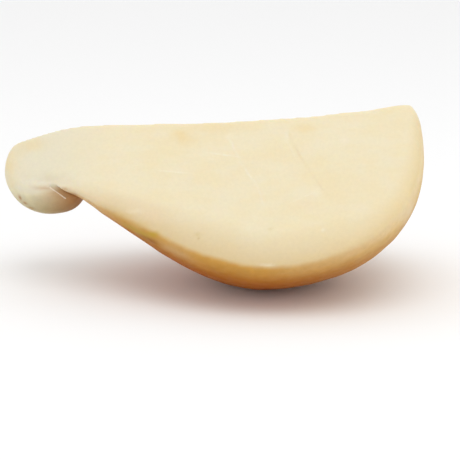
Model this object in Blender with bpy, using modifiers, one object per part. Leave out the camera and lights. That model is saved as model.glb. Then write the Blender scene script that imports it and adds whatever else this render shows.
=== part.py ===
"""A caciocavallo quarter: a pear-shaped stretched-curd cheese cut lengthwise, lying on its belly.

The piece keeps its two cut faces, which meet in a ridge along the top, the rounded rind below them,
the neck and the ball-shaped head, folded in under the neck where the cord was tied.

The cheese is first made straight: the ridge of the cut is the X axis, the head points to -X and the
belly hangs to -Z. The tail is then bent up a little, the head is bent down, and the piece is laid down.
"""

import math

import bmesh
import bpy
from mathutils import Matrix, Vector

# Driving dimensions, in metres.
BELLY_RADIUS = 0.1135
TAIL_REACH = 0.1020  # from the widest section to the blunt tail end
TAIL_BLUNTNESS = 0.326  # 1/2 would make the tail an ellipse; less is blunter
NECK_REACH = 0.1635  # from the widest section to where the neck is thinnest
NECK_RADIUS = 0.0455
NECK_END_X = -0.1570  # the neck's own end, inside the head
NECK_END_LENGTH = 0.0175  # over which it is rounded
AXIS_TILT = math.radians(1.6)  # the pear's axis rises above the ridge towards the neck
NECK_AXIS_RISE = 0.0052  # and is this far above it at the neck's end

HEAD_RADIUS = 0.0296
HEAD_X = -0.1514
HEAD_DROP = 0.0250  # the head hangs this far below the ridge

CREASE_SIDE_DROP = 0.0035  # the crease round the head: this far below its centre on both sides
CREASE_NECK_DROP = 0.0160  # and this far below it under the neck
CREASE_DROP_POWER = 1.6
CREASE_SIDE_RADIUS = 0.0026
CREASE_NECK_RADIUS = 0.0050
CREASE_HALF_TURN = math.radians(120)

TAIL_BEND_START_X = -0.0463
TAIL_BEND_PER_LENGTH = 0.57  # the ridge rises by this times the square of the distance past the start
HEAD_BEND_START_X = -0.1021
HEAD_BEND_LENGTH = 0.0544  # over this length the ridge turns down to the head's dip
HEAD_DIP = math.radians(16.8)
LYING_PITCH = math.radians(2.1)
FOOT_DEPTH = 0.0010  # how much of the belly the flat resting spot takes off

# Fineness.
PROFILE_POINTS = 40
TURN_STEPS = 96
VOXEL = 0.0012
SOFTENING_PASSES = 6
RIM_SOFTENING_PASSES = 120
CRISP_SHARE = 0.10  # the ridge and the neck's rims get only this share of the rims' softening
RIDGE_HALF_WIDTH = 0.006
RIDGE_BLEND = 0.012
NECK_RIM_START_X = -0.148
NECK_RIM_END_X = -0.120
HEAD_RIM_BLEND = 0.012
BELLY_RIM_BLEND = 0.040
TAIL_SOFTENING_PASSES = 400
TAIL_SOFTENING_START_X = 0.055  # from here to the tail's end the edges grow rounder
KEPT_FACES = 0.044

CUT_BLOCK = 0.5  # edge of the blocks used for cutting, larger than the whole cheese


def new_object(name, mesh, collection):
    obj = bpy.data.objects.new(name, mesh)
    collection.objects.link(obj)
    return obj


def new_collection(name):
    collection = bpy.data.collections.new(name)
    bpy.context.scene.collection.children.link(collection)
    return collection


def apply_modifiers(obj):
    """Replaces the object's mesh by its evaluated one and clears the modifiers."""
    bpy.context.view_layer.update()
    evaluated = obj.evaluated_get(bpy.context.evaluated_depsgraph_get())
    mesh = bpy.data.meshes.new_from_object(evaluated)
    obj.modifiers.clear()
    obj.data = mesh


def combine(obj, tool, operation):
    """Joins, subtracts or intersects a tool object with obj, then removes the tool."""
    modifier = obj.modifiers.new(operation.title(), "BOOLEAN")
    modifier.operation = operation
    modifier.object = tool
    apply_modifiers(obj)
    bpy.data.objects.remove(tool)


def rind_radius(x):
    """Distance from the axis to the rind: blunt at the tail, a long even taper to the neck."""
    if x >= 0:
        return BELLY_RADIUS * (1 - (x / TAIL_REACH) ** 2) ** TAIL_BLUNTNESS
    taper = (1 + math.cos(math.pi * x / NECK_REACH)) / 2
    radius = NECK_RADIUS + (BELLY_RADIUS - NECK_RADIUS) * taper
    into_end = max(0.0, (NECK_END_X + NECK_END_LENGTH - x) / NECK_END_LENGTH)
    return radius * (1 - min(1.0, into_end) ** 2) ** TAIL_BLUNTNESS


def turned_pear(collection):
    """The whole body and neck, turned about the X axis."""
    mesh = bpy.data.meshes.new("pear")
    profile = bmesh.new()
    middle, half = (TAIL_REACH + NECK_END_X) / 2, (TAIL_REACH - NECK_END_X) / 2
    verts = []
    for i in range(PROFILE_POINTS + 1):
        x = middle + half * math.cos(math.pi * i / PROFILE_POINTS)
        radius = 0.0 if i in (0, PROFILE_POINTS) else rind_radius(x)
        verts.append(profile.verts.new((radius, 0, -x)))
    for above, below in zip(verts, verts[1:]):
        profile.edges.new((above, below))
    profile.to_mesh(mesh)
    profile.free()
    pear = new_object("pear", mesh, collection)
    screw = pear.modifiers.new("Turn", "SCREW")
    screw.axis = "Z"
    screw.steps = screw.render_steps = TURN_STEPS
    screw.use_merge_vertices = True
    screw.merge_threshold = 0.00001
    screw.use_normal_flip = True
    apply_modifiers(pear)
    pear.data.transform(Matrix.Rotation(math.pi / TURN_STEPS, 4, "Z"))  # no vertex in the cut's ridge
    pear.data.transform(Matrix.Rotation(math.radians(-90), 4, "Y"))
    pear.data.transform(Matrix.Translation((NECK_REACH, 0, 0)))
    pear.data.transform(Matrix.Rotation(AXIS_TILT, 4, "Y"))
    pear.data.transform(Matrix.Translation((-NECK_REACH, 0, NECK_AXIS_RISE)))
    return pear


def head_ball(collection):
    mesh = bpy.data.meshes.new("head")
    ball = bmesh.new()
    bmesh.ops.create_uvsphere(ball, u_segments=64, v_segments=32, radius=HEAD_RADIUS)
    ball.to_mesh(mesh)
    ball.free()
    mesh.transform(Matrix.Translation((HEAD_X, 0, -HEAD_DROP)))
    return new_object("head", mesh, collection)


def crease_tube(collection):
    """The fold between neck and head: level along the sides, deep under the neck, fading out in front."""
    points = 48
    curve = bpy.data.curves.new("crease", "CURVE")
    curve.dimensions = "3D"
    curve.bevel_depth = 1.0
    curve.bevel_resolution = 4
    curve.use_fill_caps = True
    spline = curve.splines.new("POLY")
    spline.points.add(points)
    for i, point in enumerate(spline.points):
        share = 2 * i / points - 1
        turn = share * CREASE_HALF_TURN
        under = max(0.0, math.cos(turn))
        drop = CREASE_SIDE_DROP + (CREASE_NECK_DROP - CREASE_SIDE_DROP) * under**CREASE_DROP_POWER
        reach = math.sqrt(HEAD_RADIUS**2 - drop**2)
        width = CREASE_SIDE_RADIUS + (CREASE_NECK_RADIUS - CREASE_SIDE_RADIUS) * under
        point.radius = width * max(0.15, math.cos(share * math.pi / 2) ** 0.5)
        level = -HEAD_DROP - drop - point.radius
        point.co = (HEAD_X + reach * math.cos(turn), reach * math.sin(turn), level, 1)
    fold_line = new_object("fold_line", curve, collection)
    mesh = bpy.data.meshes.new_from_object(fold_line)
    bpy.data.objects.remove(fold_line)
    tube = bmesh.new()
    tube.from_mesh(mesh)
    bmesh.ops.remove_doubles(tube, verts=tube.verts, dist=0.00001)
    tube.to_mesh(mesh)
    tube.free()
    return new_object("crease", mesh, collection)


def wedge_block(collection):
    """A cube stood on edge: its top edge is the ridge along the X axis, its upper faces the two cuts."""
    mesh = bpy.data.meshes.new("wedge")
    block = bmesh.new()
    bmesh.ops.create_cube(block, size=CUT_BLOCK)
    block.to_mesh(mesh)
    block.free()
    mesh.transform(Matrix.Rotation(math.radians(45), 4, "X"))
    mesh.transform(Matrix.Translation((0, 0, -CUT_BLOCK / math.sqrt(2))))
    return new_object("wedge", mesh, collection)


def soften(obj, passes):
    """Rounds every edge a little, as on a soft cheese that has been handled."""
    remesh = obj.modifiers.new("Remesh", "REMESH")
    remesh.mode = "VOXEL"
    remesh.voxel_size = VOXEL
    smooth = obj.modifiers.new("Soften", "SMOOTH")
    smooth.iterations = passes
    apply_modifiers(obj)


def soften_where(obj, passes, share_at):
    """Rounds the edges further where share_at, a function of the place, is above 0."""
    group = obj.vertex_groups.new(name="softer")
    for vert in obj.data.vertices:
        group.add([vert.index], min(max(share_at(vert.co), 0.0), 1.0), "REPLACE")
    smooth = obj.modifiers.new("Soften more", "SMOOTH")
    smooth.vertex_group = group.name
    smooth.iterations = passes
    apply_modifiers(obj)
    obj.vertex_groups.clear()


def tail_share(place):
    """0 over most of the cheese, growing to 1 at the tail's end."""
    return (place.x - TAIL_SOFTENING_START_X) / (TAIL_REACH - TAIL_SOFTENING_START_X)


def rim_share(place):
    """Low at the ridge and along the neck, growing to 1 on the head and towards the belly's rims."""
    across = (abs(place.y) - RIDGE_HALF_WIDTH) / RIDGE_BLEND
    to_head = (NECK_RIM_START_X - place.x) / HEAD_RIM_BLEND
    to_belly = (place.x - NECK_RIM_END_X) / BELLY_RIM_BLEND
    rim = min(max(across, 0.0), 1.0) * min(max(to_head, to_belly, 0.0), 1.0)
    return CRISP_SHARE + (1 - CRISP_SHARE) * rim


def ridge_rise_and_slope(x):
    """The bent ridge: it curves up towards the tail, and turns down to a straight dip at the head."""
    if x > TAIL_BEND_START_X:
        past = x - TAIL_BEND_START_X
        return TAIL_BEND_PER_LENGTH * past**2, 2 * TAIL_BEND_PER_LENGTH * past
    past = max(0.0, HEAD_BEND_START_X - x)
    turned = min(1.0, past / HEAD_BEND_LENGTH)
    slope = math.tan(HEAD_DIP) * (3 * turned**2 - 2 * turned**3)
    drop_in_bend = math.tan(HEAD_DIP) * HEAD_BEND_LENGTH * (turned**3 - turned**4 / 2)
    drop_past_bend = slope * max(0.0, past - HEAD_BEND_LENGTH)
    return -drop_in_bend - drop_past_bend, slope


def bend(obj):
    """Bends the straight cheese to its ridge line: each section stays square to the ridge."""
    for vert in obj.data.vertices:
        rise, slope = ridge_rise_and_slope(vert.co.x)
        angle = math.atan(slope)
        depth = vert.co.z
        vert.co.x -= depth * math.sin(angle)
        vert.co.z = rise + depth * math.cos(angle)


def lay_down(obj, collection):
    """Pitches the cheese to how it lies, takes a thin slice off the belly, and puts that foot at Z = 0."""
    obj.data.transform(Matrix.Rotation(-LYING_PITCH, 4, "Y"))
    lowest = min(vert.co.z for vert in obj.data.vertices)
    mesh = bpy.data.meshes.new("floor")
    block = bmesh.new()
    bmesh.ops.create_cube(block, size=CUT_BLOCK)
    block.to_mesh(mesh)
    block.free()
    mesh.transform(Matrix.Translation((0, 0, lowest + FOOT_DEPTH - CUT_BLOCK / 2)))
    combine(obj, new_object("floor", mesh, collection), "DIFFERENCE")
    xs = [vert.co.x for vert in obj.data.vertices]
    ys = [vert.co.y for vert in obj.data.vertices]
    zs = [vert.co.z for vert in obj.data.vertices]
    centre = Vector(((min(xs) + max(xs)) / 2, (min(ys) + max(ys)) / 2, min(zs)))
    obj.data.transform(Matrix.Translation(-centre))


def rind_and_paste():
    material = bpy.data.materials.new("rind_and_paste")
    material.use_nodes = True
    shader = material.node_tree.nodes["Principled BSDF"]
    shader.inputs["Base Color"].default_value = (0.90, 0.79, 0.56, 1)
    shader.inputs["Roughness"].default_value = 0.45
    shader.inputs["Metallic"].default_value = 0
    return material


def main():
    for obj in list(bpy.data.objects):
        bpy.data.objects.remove(obj)
    parts = new_collection("caciocavallo")
    tools = new_collection("cutters")
    cheese = turned_pear(parts)
    cheese.name = "cheese"
    combine(cheese, head_ball(tools), "UNION")
    combine(cheese, wedge_block(tools), "INTERSECT")
    combine(cheese, crease_tube(tools), "DIFFERENCE")
    soften(cheese, SOFTENING_PASSES)
    soften_where(cheese, RIM_SOFTENING_PASSES, rim_share)
    soften_where(cheese, TAIL_SOFTENING_PASSES, tail_share)
    bend(cheese)
    decimate = cheese.modifiers.new("Fewer", "DECIMATE")
    decimate.ratio = KEPT_FACES
    apply_modifiers(cheese)
    lay_down(cheese, tools)
    cheese.data.materials.clear()
    cheese.data.materials.append(rind_and_paste())
    cheese.data.shade_smooth()
    cheese.data.set_sharp_from_angle(angle=math.radians(50))


main()
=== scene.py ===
"""The looks of the caciocavallo quarter: its skin of paste and rind, the studio and the camera."""

import math

import bpy
import numpy as np
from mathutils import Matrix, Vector, noise
from mathutils.bvhtree import BVHTree
from mathutils.kdtree import KDTree


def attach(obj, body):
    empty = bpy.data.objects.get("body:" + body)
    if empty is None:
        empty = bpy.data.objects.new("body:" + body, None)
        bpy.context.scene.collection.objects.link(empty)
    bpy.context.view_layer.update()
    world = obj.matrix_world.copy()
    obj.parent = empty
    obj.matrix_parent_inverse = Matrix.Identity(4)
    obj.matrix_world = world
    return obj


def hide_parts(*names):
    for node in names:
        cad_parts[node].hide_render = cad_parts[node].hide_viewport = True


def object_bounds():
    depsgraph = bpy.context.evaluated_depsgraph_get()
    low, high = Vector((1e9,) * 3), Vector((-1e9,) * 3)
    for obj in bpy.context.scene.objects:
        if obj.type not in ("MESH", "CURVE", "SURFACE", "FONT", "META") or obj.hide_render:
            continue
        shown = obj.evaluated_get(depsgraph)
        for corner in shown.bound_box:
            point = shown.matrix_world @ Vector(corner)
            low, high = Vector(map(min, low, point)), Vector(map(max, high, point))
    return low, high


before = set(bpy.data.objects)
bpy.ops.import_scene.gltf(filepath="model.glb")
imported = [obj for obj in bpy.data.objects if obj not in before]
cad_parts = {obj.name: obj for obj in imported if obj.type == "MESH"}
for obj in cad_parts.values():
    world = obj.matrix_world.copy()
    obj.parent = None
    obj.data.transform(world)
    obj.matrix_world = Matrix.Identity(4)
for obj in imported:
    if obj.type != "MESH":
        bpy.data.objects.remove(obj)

CAD_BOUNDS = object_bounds()

# All lengths are in metres, and all colours are linear.

# Fineness of the skin.
VOXEL = 0.00122
SMOOTHING_PASSES = 7

# The camera, at the photograph's viewing angle.
SENSOR_WIDTH = 36.0  # in millimetres
CAMERA_DISTANCE = 0.95
CAMERA_AZIMUTH = math.radians(5)  # to the right of straight ahead
CAMERA_ELEVATION = math.radians(14)
VIEW_WIDTH = 0.3087  # width of the picture at the cheese
AIM_RIGHT = 0.0120  # the picture's middle lies this far right of the cheese's middle,
AIM_DOWN = 0.0249  # and this far below it

# The studio.
WORLD_STRENGTH = 0.95
LAMP_PLACE = (0.15, -0.45, 1.30)
LAMP_AIM = (0, 0, 0.05)
LAMP_SIZE = 1.1
LAMP_POWER = 3.8
FLOOR_SIZE = 30.0
FLOOR_COLOUR = (0.94, 0.94, 0.94)
FLOOR_ROUGHNESS = 0.8
FLOOR_SPECULAR = 0.2

# The paste.
PASTE = (0.790, 0.710, 0.515)
PASTE_WARM = (0.790, 0.690, 0.465)
HEAD_PASTE = (0.745, 0.690, 0.530)
SHADED_RIM_PASTE = (0.660, 0.520, 0.300)  # the paste right under the rind, drawn darker: painted shade along the rim of the cut face
SHADED_TAIL_RIM_PASTE = (0.755, 0.610, 0.350)
RIM_SHADE_REACHES = (  # how far in from the rim the painted shade reaches, along the cheese
    (-0.090, 0.010), (-0.060, 0.013), (-0.030, 0.018), (0.000, 0.026), (0.080, 0.023), (0.115, 0.011),
)
PALE_PASTE = (0.860, 0.810, 0.680)

# The rind by its depth, the distance past the rim of the cut face, where it is brown, golden and tan. It
# darkens with depth: partly its own colour, partly painted shade and painted warm bounced light on the
# underside.
BROWN_RIND_AND_SHADE = (
    (0.000, (0.60, 0.400, 0.150)), (0.004, (0.55, 0.315, 0.082)), (0.010, (0.45, 0.215, 0.030)),
    (0.020, (0.42, 0.155, 0.014)), (0.030, (0.37, 0.112, 0.006)),
)
GOLDEN_RIND_AND_SHADE = (
    (0.000, (0.61, 0.380, 0.105)), (0.003, (0.56, 0.305, 0.066)), (0.010, (0.54, 0.265, 0.050)),
    (0.020, (0.43, 0.155, 0.014)), (0.030, (0.42, 0.115, 0.005)),
)
TAN_RIND_AND_SHADE = (
    (0.000, (0.82, 0.670, 0.410)), (0.003, (0.78, 0.620, 0.370)), (0.012, (0.70, 0.480, 0.185)),
    (0.022, (0.59, 0.345, 0.102)), (0.030, (0.53, 0.280, 0.065)),
)
DEEPEST_RIND = 0.030
RIND_TONES = (  # along the cheese: 0 brown, 1 golden, 2 tan; partly painted light, brown under the shaded belly and tan at the lit tail
    (-0.085, 1.5), (-0.062, 1.10), (-0.052, 0.85), (-0.040, 0.1), (-0.032, 0.1), (-0.024, 0.8), (-0.002, 0.8),
    (0.010, 0.3), (0.040, 1.0), (0.080, 1.4), (0.105, 1.7), (0.122, 2.0),
)
RIND_SHIFTS = (  # how far the rind reaches onto the face, along the cheese
    (-0.095, -0.0030), (-0.070, -0.0012), (-0.050, 0.0010), (-0.030, 0.0029),
    (0.015, 0.0044), (0.040, 0.0014), (0.070, 0.0005), (0.110, 0.0),
)
RIM_TURN = 0.35  # the rim is where the skin's normal points up by less than this
RIND_EDGE = 0.0045  # the paste turns into rind over this depth
FINE_EVENING = 9  # passes over the whole depth
DEEP_EVENING = 220  # passes over the deep rind
DEEP_RIND = (0.008, 0.020)  # it is deep from the second depth on

# The head.
BALL_RIND = (0.720, 0.660, 0.460)
BALL_BROWN_AND_SHADE = (0.480, 0.225, 0.065)  # towards the fold: partly the rind's brown, partly painted shade under the neck's lip
BALL_UNDERSIDE_SHADE = (0.640, 0.580, 0.450)  # painted shade on the ball's lower side, by how far its normal points down
UNDERSIDE_SHADE_TURNS = (-0.3, -0.8)
HEAD_X = -0.085  # the head and the end of the neck are paler, from here to the left
HEAD_BLEND = 0.030
BALL_X = -0.087  # the ball's rind is to the left of this
BALL_BLEND = 0.003
BALL_BROWN_AND_SHADE_REACH = (-0.122, -0.085)

# Marks by name: the colour, then spots, each with its centre, half sizes and strength.
MARKS = {
    "orange": ((0.780, 0.620, 0.330), (
        ((-0.0205, -0.0070, 0.1018), (0.0060, 0.006, 0.0035), 0.75),
        ((-0.0150, -0.0105, 0.0985), (0.0080, 0.006, 0.0030), 0.35),
        ((0.0050, -0.0030, 0.1066), (0.0160, 0.006, 0.0035), 0.40),
        ((0.0110, -0.0085, 0.1016), (0.0030, 0.005, 0.0040), 0.35),
        ((0.0630, -0.0070, 0.1076), (0.0070, 0.006, 0.0030), 0.45),
        ((-0.1350, -0.0080, 0.0810), (0.0070, 0.009, 0.0120), 0.65),
        ((-0.1250, -0.0020, 0.0900), (0.0090, 0.006, 0.0060), 0.30),
        ((-0.1320, -0.0180, 0.0710), (0.0050, 0.006, 0.0060), 0.35),
        ((-0.1170, -0.0050, 0.0930), (0.0090, 0.006, 0.0045), 0.35),
    )),
    "warm": ((0.790, 0.670, 0.420), (
        ((0.0900, -0.0370, 0.0790), (0.0220, 0.020, 0.0180), 0.40),
        ((0.0360, -0.0180, 0.0930), (0.0100, 0.010, 0.0080), 0.30),
        ((0.0850, -0.0640, 0.0540), (0.0200, 0.012, 0.0060), 0.20),
    )),
    "pink": ((0.760, 0.600, 0.400), (
        ((-0.0355, -0.0500, 0.0582), (0.0140, 0.009, 0.0080), 0.45),
        ((-0.0480, -0.0440, 0.0640), (0.0060, 0.006, 0.0040), 0.25),
        ((-0.0710, -0.0410, 0.0640), (0.0100, 0.006, 0.0030), 0.35),
        ((0.0640, -0.0470, 0.0680), (0.0060, 0.004, 0.0035), 0.20),
    )),
    # Paler spots: the two on the lip over the fold and the one on the belly's rim are painted highlights; the
    # rest are pale flecks.
    "pale_and_highlight": (PALE_PASTE, (
        ((-0.1030, -0.0285, 0.0725), (0.0070, 0.003, 0.0012), 0.35),
        ((-0.1120, -0.0258, 0.0724), (0.0050, 0.004, 0.0020), 0.12),
        ((-0.0450, -0.0490, 0.0590), (0.0060, 0.004, 0.0015), 0.30),
        ((0.0410, -0.0775, 0.0345), (0.0045, 0.004, 0.0008), 0.35),
        ((0.0115, -0.0090, 0.1012), (0.0022, 0.004, 0.0022), 0.35),
        ((0.0500, -0.0100, 0.1035), (0.0014, 0.004, 0.0040), 0.35),
        ((0.0700, -0.0425, 0.0727), (0.0030, 0.004, 0.0040), 0.25),
        ((0.0750, -0.0619, 0.0536), (0.0010, 0.002, 0.0008), 0.60),
        ((0.0874, -0.0163, 0.1018), (0.0030, 0.003, 0.0016), 0.25),
        ((0.1300, -0.0420, 0.0600), (0.0080, 0.010, 0.0120), 0.25),
    )),
    "olive": ((0.490, 0.335, 0.030), (
        ((-0.0040, -0.0612, 0.0478), (0.0020, 0.003, 0.0014), 0.22),
        ((0.0418, -0.0593, 0.0528), (0.0016, 0.003, 0.0007), 0.20),
        ((-0.0490, -0.0460, 0.0475), (0.0090, 0.008, 0.0030), 0.60),
        ((-0.0400, -0.0510, 0.0445), (0.0080, 0.008, 0.0028), 0.70),
        ((-0.0325, -0.0591, 0.0466), (0.0038, 0.004, 0.0016), 0.70),
    )),
    "golden": ((0.640, 0.450, 0.170), (
        ((-0.0560, -0.0495, 0.0560), (0.0110, 0.007, 0.0028), 0.40),
        ((-0.0430, -0.0545, 0.0515), (0.0090, 0.006, 0.0022), 0.40),
    )),
    # Duller spots: the first, on the lip over the fold, is painted shade; the rest are duller paste.
    "dull_and_shade": ((0.640, 0.570, 0.420), (
        ((-0.1040, -0.0265, 0.0755), (0.0100, 0.008, 0.0032), 0.55),
        ((-0.1230, -0.0190, 0.0750), (0.0050, 0.006, 0.0040), 0.15),
        ((-0.0215, -0.0615, 0.0395), (0.0085, 0.009, 0.0055), 0.16),
        ((-0.0125, -0.0635, 0.0355), (0.0085, 0.009, 0.0055), 0.16),
    )),
    # Rust-brown spots along the neck's lip over the fold: partly the rind's brown, partly painted shade of
    # the fold.
    "rust_and_fold_shade": ((0.540, 0.300, 0.130), (
        ((-0.0935, -0.0325, 0.0695), (0.0040, 0.004, 0.0014), 0.60),
        ((-0.0885, -0.0320, 0.0670), (0.0040, 0.004, 0.0018), 0.60),
        ((-0.0830, -0.0280, 0.0625), (0.0050, 0.004, 0.0020), 0.45),
        ((-0.0745, -0.0345, 0.0595), (0.0060, 0.005, 0.0020), 0.30),
        ((-0.1085, -0.0277, 0.0690), (0.0065, 0.004, 0.0013), 0.55),
    )),
    "stain": ((0.330, 0.120, 0.015), (
        ((-0.0335, -0.0540, 0.0404), (0.0034, 0.007, 0.0024), 1.00),
        ((-0.0400, -0.0500, 0.0420), (0.0080, 0.008, 0.0024), 0.60),
        ((-0.0030, -0.0625, 0.0460), (0.0007, 0.003, 0.0006), 0.25),
        ((-0.1265, -0.0187, 0.0597), (0.0011, 0.005, 0.0020), 0.90),
        ((-0.1234, -0.0181, 0.0560), (0.0016, 0.005, 0.0012), 0.80),
        ((-0.1201, -0.0151, 0.0520), (0.0018, 0.005, 0.0010), 0.70),
    )),
}
MARK_RAGGEDNESS = 0.35  # of a spot's half sizes
MARK_GRAIN = 1.4  # size of the raggedness, in smallest half sizes

# Relief in the skin itself. The offsets keep the patterns from lining up.
WAVE_HEIGHT = 0.00035
WAVE_LENGTH = 0.040
FINER_WAVES = 3  # the second waves are this many times smaller
FINER_WAVES_OFFSET = 7
DIMPLE_HEIGHT = 0.00022
DIMPLE_LENGTH = 0.009
DIMPLE_OFFSET = 3
LUMP_HEIGHT = 0.0009
LUMP_LENGTH = 0.0045
LUMP_OFFSET = 5
LUMPY_PLACES = (  # the lip over the fold
    ((-0.1130, -0.0258, 0.0724), (0.0100, 0.008, 0.0035), 1.0),
    ((-0.1000, -0.0290, 0.0724), (0.0100, 0.008, 0.0030), 1.0),
)

# Small corrections of form.
RIDGE_LIFTS = (  # how much higher the ridge is than in the solid, along the cheese
    (0.045, 0.0), (0.068, -0.0008), (0.100, -0.0006), (0.118, 0.0006), (0.130, 0.0010), (0.138, 0.0004),
)
RIDGE_LIFT_REACH = 0.016  # to either side of the ridge
RIDGE_TURN = 0.5  # only where the skin's normal points up, in full from here on
NECK_LIFT = 0.0012  # the underside there is this much higher than in the solid
NECK_LIFT_ALONG = ((-0.100, 0.0), (-0.085, 1.0), (-0.010, 1.0), (0.030, 0.0))
NECK_LIFT_REACH = 0.030  # it fades this far in from the rim
BALL_SWELL = 0.0026  # the ball is this much fuller towards the fold
BALL_SWELL_ALONG = ((-0.122, 0.0), (-0.090, 1.0))
BALL_SWELL_TOPS = (0.068, 0.060)  # heights between which it grows in full

# Fine patterns in the cheese's material.
NOISE_MIDDLE = (0.3, 0.7)  # most of a noise texture lies between these
CLOUD_SIZE = 0.022
CLOUD_EDGES = (0.40, 0.60)
STREAK_SIZE = 0.007
STREAK_STRETCH = (0.3, 1, 1)  # a number below 1 draws the pattern out along that axis
DEPTH_WANDER_SIZE = 0.012
DEPTH_WANDER = 0.0015
BLOTCH_SIZE = 0.0055  # of the rind
BLOTCH_STRENGTH = 0.05
MOTTLE_SIZE = 0.0022  # of the whole
MOTTLE_STRENGTH = 0.02
ROUGHNESS_SIZE = 0.006
ROUGHNESSES = (0.42, 0.56)
SPECULAR = 0.12
SUBSURFACE = 0.35
SUBSURFACE_RADIUS = (1.0, 0.65, 0.30)
SUBSURFACE_SCALE = 0.004
CUT_LINE_SIZE = 0.0014  # fine lines along the cut
CUT_LINE_STRETCH = (0.12, 1.0, 1.0)
CUT_LINE_BUMP = (0.20, 0.0002)  # strength and height
GRAIN_SIZE = 0.0007
GRAIN_BUMP = (0.12, 0.00015)
KNIFE_DRAGS = (  # scratches along the front cut: start, end, width, height (negative: a groove)
    ((-0.0040, -0.0168, 0.0927), (0.0225, -0.0206, 0.0900), 0.0010, 1.0),
    ((-0.0380, -0.0257, 0.0822), (-0.0070, -0.0288, 0.0804), 0.0010, 0.8),
    ((-0.0030, -0.0205, 0.0890), (0.0080, -0.0215, 0.0885), 0.0008, 0.5),
    ((0.0110, -0.0080, 0.1020), (0.0204, -0.0216, 0.0888), 0.0013, 0.8),
    ((0.0190, -0.0215, 0.0890), (0.0340, -0.0380, 0.0735), 0.0013, 0.9),
    ((0.0320, -0.0350, 0.0762), (0.0380, -0.0490, 0.0632), 0.0010, 0.5),
    ((0.0490, -0.0050, 0.1082), (0.0545, -0.0150, 0.0988), 0.0016, -0.40),
    ((0.0525, -0.0120, 0.1015), (0.0645, -0.0298, 0.0849), 0.0016, -0.60),
    ((0.0625, -0.0275, 0.0871), (0.0800, -0.0480, 0.0685), 0.0016, -0.40),
    ((0.0495, -0.0120, 0.1012), (0.0570, -0.0240, 0.0900), 0.0012, 0.5),
    ((0.0507, -0.0476, 0.0657), (0.0695, -0.0420, 0.0732), 0.0010, 0.4),
)
SCRATCH_COLOUR = 0.52  # how much a scratch of height 1 changes the colour
SCRATCH_BUMP = (0.6, 0.0002)
SCRATCH_START_PARTS = 3  # a scratch fades in over the first of this many parts,
SCRATCH_END = 0.7  # and out from this share of its length on
SCRATCH_BREAK_SIZE = 0.004
SCRATCH_BREAKS = (0.35, 0.60, 0.3, 1.0)  # noise from and to, and the strength there

# The strand that bridges the crease.
STRAND_ENDS = ((-0.1042, -0.0283, 0.0697), (-0.0955, -0.0218, 0.0614))
STRAND_RADIUS = 0.00042
STRAND_POINTS = 12
STRAND_RAISED = 0.4  # its middle is this share of its radius above the skin
STRAND_END_WIDTH = 1.25  # as a share of the radius
STRAND_WAIST = 0.5  # its middle is this much thinner than its ends
STRAND_COLOURS = ((0.86, 0.76, 0.62), (0.82, 0.70, 0.54))
STRAND_SHADE_SIZE = 0.002
STRAND_ROUGHNESS = 0.4


def apply_modifiers(obj):
    evaluated = obj.evaluated_get(bpy.context.evaluated_depsgraph_get())
    mesh = bpy.data.meshes.new_from_object(evaluated)
    obj.modifiers.clear()
    obj.data = mesh


def smooth_step(low, high, value):
    share = np.clip((value - low) / (high - low), 0, 1)
    return share * share * (3 - 2 * share)


def rim_depths(points, turn):
    """How far past the rim of the cut faces each place is: below 0 on the faces, above 0 on the rind."""
    depths = np.empty(len(points))
    cut = turn > RIM_TURN
    for side, sign in ((cut, -1), (~cut, 1)):
        others = np.flatnonzero(~side)
        tree = KDTree(len(others))
        for i in others:
            tree.insert(points[i], i)
        tree.balance()
        for i in np.flatnonzero(side):
            depths[i] = sign * tree.find(points[i])[2]
    return depths


def even_out(mesh, values, passes):
    """Averages each vertex's value with its neighbours', pass after pass."""
    edges = np.empty(len(mesh.edges) * 2, dtype=int)
    mesh.edges.foreach_get("vertices", edges)
    first, second = edges.reshape(-1, 2).T
    counts = np.bincount(edges, minlength=len(values))
    for _ in range(passes):
        sums = np.bincount(first, values[second], len(values))
        sums += np.bincount(second, values[first], len(values))
        values = (values + sums / counts) / 2
    return values


def noise_at(points, size, offset=0.0):
    """Perlin noise of the given feature size at each point, from about -1 to 1."""
    scaled = points / size + offset
    return np.array([noise.noise(Vector(point)) for point in scaled])


def by_length(points, stops):
    """The value at each point's place along the cheese, from stops of place and value."""
    return np.interp(points[:, 0], *zip(*stops))


def vertex_array(mesh, name):
    values = np.empty(len(mesh.vertices) * 3)
    mesh.vertices.foreach_get(name, values)
    return values.reshape(-1, 3)


def fine_copy(node, name):
    """A copy of the CAD solid in small even faces, smooth enough to take relief."""
    obj = bpy.data.objects.new(name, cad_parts[node].data.copy())
    bpy.context.scene.collection.objects.link(obj)
    remesh = obj.modifiers.new("Remesh", "REMESH")
    remesh.mode = "VOXEL"
    remesh.voxel_size = VOXEL
    smooth = obj.modifiers.new("Smooth", "SMOOTH")
    smooth.iterations = SMOOTHING_PASSES
    apply_modifiers(obj)
    return obj


def blot(points, centre, half_sizes):
    """1 at the centre of a soft, uneven spot, falling to 0 outside it."""
    drift = noise_at(points, min(half_sizes) * MARK_GRAIN)[:, None]
    ragged = points + MARK_RAGGEDNESS * np.array(half_sizes) * drift
    away = ((ragged - centre) / half_sizes) ** 2
    return np.exp(-away.sum(axis=1))


def blots(points, spots):
    """The strength of all of a mark's spots together, at each point."""
    total = np.zeros(len(points))
    for centre, half_sizes, strength in spots:
        total += strength * blot(points, centre, half_sizes)
    return np.clip(total, 0, 1)


def paint_attribute(mesh, name, values):
    layer = mesh.attributes.new(name, "FLOAT", "POINT")
    layer.data.foreach_set("value", values.astype(np.float32))


def rind_depth(mesh, points, turn):
    """How far past the rim each place is, evened out, and shifted to where the rind starts."""
    depth = even_out(mesh, rim_depths(points, turn), FINE_EVENING)
    deep = smooth_step(*DEEP_RIND, depth)
    depth += (even_out(mesh, depth, DEEP_EVENING) - depth) * deep
    depth += by_length(points, RIND_SHIFTS)
    return depth


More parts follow.
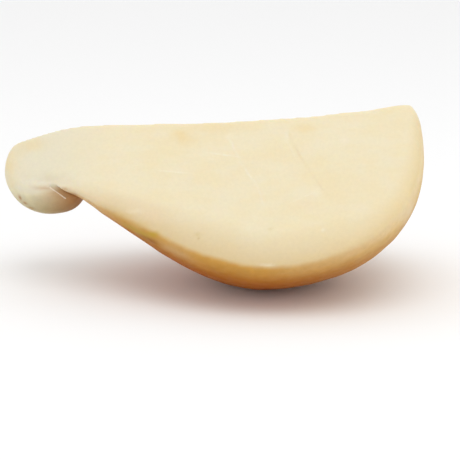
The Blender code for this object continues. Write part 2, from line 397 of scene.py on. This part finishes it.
def relief(points, rind):
    """How far each point moves along its normal."""
    waves = WAVE_HEIGHT * noise_at(points, WAVE_LENGTH)
    waves += WAVE_HEIGHT / FINER_WAVES * noise_at(points, WAVE_LENGTH / FINER_WAVES, FINER_WAVES_OFFSET)
    dimples = DIMPLE_HEIGHT * noise_at(points, DIMPLE_LENGTH, DIMPLE_OFFSET) * rind
    lumps = LUMP_HEIGHT * noise_at(points, LUMP_LENGTH, LUMP_OFFSET) * blots(points, LUMPY_PLACES)
    return waves + dimples + lumps


def correct_forms(moved, points, turn, depth, ball):
    """Lifts the neck's underside, shapes the ridge by the tail, and fills the ball towards the fold."""
    lift = NECK_LIFT * by_length(points, NECK_LIFT_ALONG) * smooth_step(-NECK_LIFT_REACH, 0, depth)
    moved[:, 2] = np.maximum(moved[:, 2] + lift * (1 - ball), 0.0)
    ridge = smooth_step(RIDGE_LIFT_REACH, 0, np.abs(points[:, 1])) * smooth_step(0, RIDGE_TURN, turn)
    moved[:, 2] += by_length(points, RIDGE_LIFTS) * ridge
    swell = BALL_SWELL * by_length(points, BALL_SWELL_ALONG) * smooth_step(*BALL_SWELL_TOPS, points[:, 2])
    moved[:, 0] += swell * ball


def dress_skin(obj):
    """Paints where the skin is rind, head, rim or mark, for the material to read, and gives it its relief."""
    mesh = obj.data
    points = vertex_array(mesh, "co")
    normals = vertex_array(mesh, "normal")
    along = points[:, 0]
    turn = normals[:, 2]
    depth = rind_depth(mesh, points, turn)
    rind = smooth_step(0, RIND_EDGE, depth)
    ball = smooth_step(BALL_X + BALL_BLEND, BALL_X - BALL_BLEND, along)
    places = {
        "turn": turn,
        "rind": rind,
        "depth": depth,
        "tone": by_length(points, RIND_TONES),
        "ball": ball,
        "ball_brown_and_shade": smooth_step(*BALL_BROWN_AND_SHADE_REACH, along),
        "head": smooth_step(HEAD_X + HEAD_BLEND, HEAD_X - HEAD_BLEND, along),
        "rim_shade": np.clip(1 + depth / by_length(points, RIM_SHADE_REACHES), 0, 1),
    }
    for name, (_, spots) in MARKS.items():
        places[name] = blots(points, spots)
    for name, values in places.items():
        paint_attribute(mesh, name, values)
    moved = points + normals * relief(points, rind)[:, None]
    correct_forms(moved, points, turn, depth, ball)
    mesh.vertices.foreach_set("co", moved.ravel())
    mesh.update()
    mesh.shade_smooth()


class Nodes:
    """Short calls for building one material's node tree."""

    def __init__(self, name):
        self.material = bpy.data.materials.new(name)
        self.material.use_nodes = True
        self.tree = self.material.node_tree
        self.shader = self.tree.nodes["Principled BSDF"]

    def add(self, kind, **settings):
        node = self.tree.nodes.new(kind)
        for key, value in settings.items():
            setattr(node, key, value)
        return node

    def feed(self, socket, value):
        """Links a socket to another one, or sets it to a number, vector or colour."""
        if isinstance(value, bpy.types.NodeSocket):
            self.tree.links.new(value, socket)
        elif isinstance(value, tuple) and socket.type == "RGBA":
            socket.default_value = (*value, 1)
        else:
            socket.default_value = value

    def attribute(self, name):
        return self.add("ShaderNodeAttribute", attribute_name=name).outputs["Fac"]

    def object_point(self):
        return self.add("ShaderNodeTexCoord").outputs["Object"]

    def noise(self, size, detail=3.0, roughness=0.5, stretch=(1, 1, 1)):
        mapping = self.add("ShaderNodeMapping")
        self.feed(mapping.inputs["Vector"], self.object_point())
        mapping.inputs["Scale"].default_value = stretch
        texture = self.add("ShaderNodeTexNoise")
        self.feed(texture.inputs["Vector"], mapping.outputs["Vector"])
        self.feed(texture.inputs["Scale"], 1 / size)
        self.feed(texture.inputs["Detail"], detail)
        self.feed(texture.inputs["Roughness"], roughness)
        return texture.outputs["Fac"]

    def remap(self, value, low, high, to_low=0.0, to_high=1.0):
        node = self.add("ShaderNodeMapRange", clamp=True)
        for socket, given in zip(node.inputs, (value, low, high, to_low, to_high)):
            self.feed(socket, given)
        return node.outputs["Result"]

    def math(self, operation, first, second):
        node = self.add("ShaderNodeMath", operation=operation)
        self.feed(node.inputs[0], first)
        self.feed(node.inputs[1], second)
        return node.outputs["Value"]

    def vector(self, operation, first, second=None, output="Vector"):
        node = self.add("ShaderNodeVectorMath", operation=operation)
        self.feed(node.inputs[0], first)
        if second is not None:
            self.feed(node.inputs[1], second)
        return node.outputs[output]

    def scratch(self, start, end, width):
        """1 along a line in space, fading to its sides and its ends."""
        start, end = Vector(start), Vector(end)
        way = (end - start).normalized()
        from_start = self.vector("SUBTRACT", self.object_point(), tuple(start))
        along = self.vector("DOT_PRODUCT", from_start, tuple(way), "Value")
        length = (end - start).length
        fade_in = self.remap(along, 0.0, length / SCRATCH_START_PARTS)
        ends = self.math("MULTIPLY", fade_in, self.remap(along, length, length * SCRATCH_END))
        away = self.vector("LENGTH", self.vector("CROSS_PRODUCT", from_start, tuple(way)), output="Value")
        return self.math("MULTIPLY", self.remap(away, width, 0.0), ends)

    def around_one(self, size, strength):
        """Noise around 1, by which a colour is multiplied."""
        return self.remap(self.noise(size, 4.0, 0.6), *NOISE_MIDDLE, 1 - strength, 1 + strength)

    def mix(self, factor, first, second, blend_type="MIX"):
        node = self.add("ShaderNodeMix", data_type="RGBA", blend_type=blend_type)
        self.feed(node.inputs["Factor"], factor)
        self.feed(node.inputs["A"], first)
        self.feed(node.inputs["B"], second)
        return node.outputs["Result"]

    def ramp(self, value, stops):
        node = self.add("ShaderNodeValToRGB")
        elements = node.color_ramp.elements
        while len(elements) < len(stops):
            elements.new(0.5)
        for element, (position, colour) in zip(elements, stops):
            element.position = position
            element.color = (*colour, 1)
        self.feed(node.inputs["Fac"], value)
        return node.outputs["Color"]

    def bump(self, height, strength, distance, below=None):
        node = self.add("ShaderNodeBump")
        self.feed(node.inputs["Height"], height)
        self.feed(node.inputs["Strength"], strength)
        self.feed(node.inputs["Distance"], distance)
        if below is not None:
            self.feed(node.inputs["Normal"], below)
        return node.outputs["Normal"]


def paste_colour(made, tone):
    cloudy = made.remap(made.noise(CLOUD_SIZE, 2.0), *CLOUD_EDGES)
    streaky = made.remap(made.noise(STREAK_SIZE, 3.0, 0.6, STREAK_STRETCH), *CLOUD_EDGES)
    cloudy = made.math("MULTIPLY", made.math("ADD", cloudy, streaky), 0.5)
    paste = made.mix(cloudy, PASTE, PASTE_WARM)
    # Painted shade: the paste is drawn darker towards the rim of the cut face, less so by the tail.
    rim_shade = made.mix(made.remap(tone, 1.0, 2.0), SHADED_RIM_PASTE, SHADED_TAIL_RIM_PASTE)
    paste = made.mix(made.attribute("rim_shade"), paste, rim_shade)
    return made.mix(made.attribute("head"), paste, HEAD_PASTE)


def rind_colour(made, tone):
    wander = made.remap(made.noise(DEPTH_WANDER_SIZE, 3.0), *NOISE_MIDDLE, -DEPTH_WANDER, DEPTH_WANDER)
    depth = made.math("ADD", made.attribute("depth"), wander)
    # The rind darkens with depth: partly its own colour, partly painted shade and painted warm bounced light
    # on the underside.
    down = made.remap(depth, 0.0, DEEPEST_RIND)
    brown, golden, tan = (
        made.ramp(down, tuple((place / DEEPEST_RIND, colour) for place, colour in stops))
        for stops in (BROWN_RIND_AND_SHADE, GOLDEN_RIND_AND_SHADE, TAN_RIND_AND_SHADE)
    )
    rind = made.mix(made.remap(tone, 0.0, 1.0), brown, golden)
    rind = made.mix(made.remap(tone, 1.0, 2.0), rind, tan)
    # The ball browns towards the fold: partly its rind's brown, partly painted shade under the neck's lip.
    ball = made.mix(made.attribute("ball_brown_and_shade"), BALL_RIND, BALL_BROWN_AND_SHADE)
    # Painted shade: the ball darkens where its normal points down.
    underneath_shade = made.remap(made.attribute("turn"), *UNDERSIDE_SHADE_TURNS)
    ball = made.mix(1.0, ball, made.mix(underneath_shade, (1.0, 1.0, 1.0), BALL_UNDERSIDE_SHADE), "MULTIPLY")
    rind = made.mix(made.attribute("ball"), rind, ball)
    return made.mix(1.0, rind, made.around_one(BLOTCH_SIZE, BLOTCH_STRENGTH), "MULTIPLY")


def add_scratches(made, colour):
    """Draws the knife's scratches over the colour, and gives the new colour and their height."""
    broken = made.remap(made.noise(SCRATCH_BREAK_SIZE), *SCRATCH_BREAKS)
    heights = 0.0
    for start, end, width, height in KNIFE_DRAGS:
        line = made.math("MULTIPLY", made.scratch(start, end, width), broken)
        share = made.math("MULTIPLY", line, SCRATCH_COLOUR * abs(height))
        # Grooves are drawn in the darker rim paste, painted shade in them; raised scratches are drawn paler.
        colour = made.mix(share, colour, PALE_PASTE if height > 0 else SHADED_RIM_PASTE)
        heights = made.math("ADD", heights, made.math("MULTIPLY", line, height))
    return colour, heights


def cheese_material():
    made = Nodes("cheese_paste_and_rind")
    tone = made.attribute("tone")
    colour = made.mix(made.attribute("rind"), paste_colour(made, tone), rind_colour(made, tone))
    for name, (mark_colour, _) in MARKS.items():
        colour = made.mix(made.attribute(name), colour, mark_colour)
    colour, scratches = add_scratches(made, colour)
    colour = made.mix(1.0, colour, made.around_one(MOTTLE_SIZE, MOTTLE_STRENGTH), "MULTIPLY")
    inputs = made.shader.inputs
    made.feed(inputs["Base Color"], colour)
    made.feed(inputs["Roughness"], made.remap(made.noise(ROUGHNESS_SIZE), *NOISE_MIDDLE, *ROUGHNESSES))
    inputs["Specular IOR Level"].default_value = SPECULAR
    inputs["Subsurface Weight"].default_value = SUBSURFACE
    inputs["Subsurface Radius"].default_value = SUBSURFACE_RADIUS
    inputs["Subsurface Scale"].default_value = SUBSURFACE_SCALE
    bumps = made.bump(made.noise(CUT_LINE_SIZE, 2.0, 0.5, CUT_LINE_STRETCH), *CUT_LINE_BUMP)
    bumps = made.bump(scratches, *SCRATCH_BUMP, bumps)
    bumps = made.bump(made.noise(GRAIN_SIZE, 3.0, 0.6), *GRAIN_BUMP, bumps)
    made.feed(inputs["Normal"], bumps)
    return made.material


def strand_piece(skin):
    """A thin strand of stretched curd that bridges the crease between the neck and the head."""
    tree = BVHTree.FromObject(skin, bpy.context.evaluated_depsgraph_get())
    start, end = (Vector(place) for place in STRAND_ENDS)
    curve = bpy.data.curves.new("crease_strand", "CURVE")
    curve.dimensions = "3D"
    curve.bevel_depth = STRAND_RADIUS
    curve.bevel_resolution = 3
    curve.use_fill_caps = True
    spline = curve.splines.new("POLY")
    spline.points.add(STRAND_POINTS - 1)
    for i, point in enumerate(spline.points):
        share = i / (STRAND_POINTS - 1)
        place, normal = tree.find_nearest(start.lerp(end, share))[:2]
        place += normal * STRAND_RADIUS * STRAND_RAISED
        point.co = (*place, 1)
        point.radius = STRAND_END_WIDTH - STRAND_WAIST * math.sin(math.pi * share)
    strand = bpy.data.objects.new("crease_strand", curve)
    bpy.context.scene.collection.objects.link(strand)
    return strand


def strand_material():
    made = Nodes("curd_strand")
    shade = made.remap(made.noise(STRAND_SHADE_SIZE), *NOISE_MIDDLE)
    made.feed(made.shader.inputs["Base Color"], made.mix(shade, *STRAND_COLOURS))
    made.shader.inputs["Roughness"].default_value = STRAND_ROUGHNESS
    return made.material


def add_floor():
    bpy.ops.mesh.primitive_plane_add(size=FLOOR_SIZE)
    floor = bpy.context.object
    floor.name = "floor"
    made = Nodes("pale_floor")
    made.feed(made.shader.inputs["Base Color"], FLOOR_COLOUR)
    made.shader.inputs["Roughness"].default_value = FLOOR_ROUGHNESS
    made.shader.inputs["Specular IOR Level"].default_value = FLOOR_SPECULAR
    floor.data.materials.append(made.material)


def add_studio():
    """An even white surround and one wide soft lamp above the front."""
    world = bpy.data.worlds.new("studio")
    world.use_nodes = True
    background = world.node_tree.nodes["Background"]
    background.inputs["Color"].default_value = (1, 1, 1, 1)
    background.inputs["Strength"].default_value = WORLD_STRENGTH
    bpy.context.scene.world = world
    bpy.context.scene.view_settings.view_transform = "Standard"
    lamp = bpy.data.lights.new("overhead", "AREA")
    lamp.shape = "DISK"
    lamp.size = LAMP_SIZE
    lamp.energy = LAMP_POWER
    obj = bpy.data.objects.new("overhead", lamp)
    bpy.context.scene.collection.objects.link(obj)
    obj.location = LAMP_PLACE
    obj.rotation_euler = (Vector(LAMP_AIM) - Vector(LAMP_PLACE)).to_track_quat("-Z", "Y").to_euler()


def add_camera():
    low, high = CAD_BOUNDS
    middle = (Vector(low) + Vector(high)) / 2
    out = Vector((
        math.sin(CAMERA_AZIMUTH) * math.cos(CAMERA_ELEVATION),
        -math.cos(CAMERA_AZIMUTH) * math.cos(CAMERA_ELEVATION),
        math.sin(CAMERA_ELEVATION),
    ))
    right = Vector((math.cos(CAMERA_AZIMUTH), math.sin(CAMERA_AZIMUTH), 0))
    up = out.cross(right)
    aim = middle + right * AIM_RIGHT - up * AIM_DOWN
    data = bpy.data.cameras.new("camera")
    data.sensor_width = SENSOR_WIDTH
    data.lens = SENSOR_WIDTH * CAMERA_DISTANCE / VIEW_WIDTH
    camera = bpy.data.objects.new("camera", data)
    bpy.context.scene.collection.objects.link(camera)
    camera.location = middle + out * CAMERA_DISTANCE
    camera.rotation_euler = (aim - camera.location).to_track_quat("-Z", "Y").to_euler()
    bpy.context.scene.camera = camera


skin = fine_copy("cheese", "cheese_skin")
dress_skin(skin)
skin.data.materials.clear()
skin.data.materials.append(cheese_material())
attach(skin, "root")
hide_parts("cheese")

strand = strand_piece(skin)
strand.data.materials.append(strand_material())
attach(strand, "root")

add_floor()
add_studio()
add_camera()
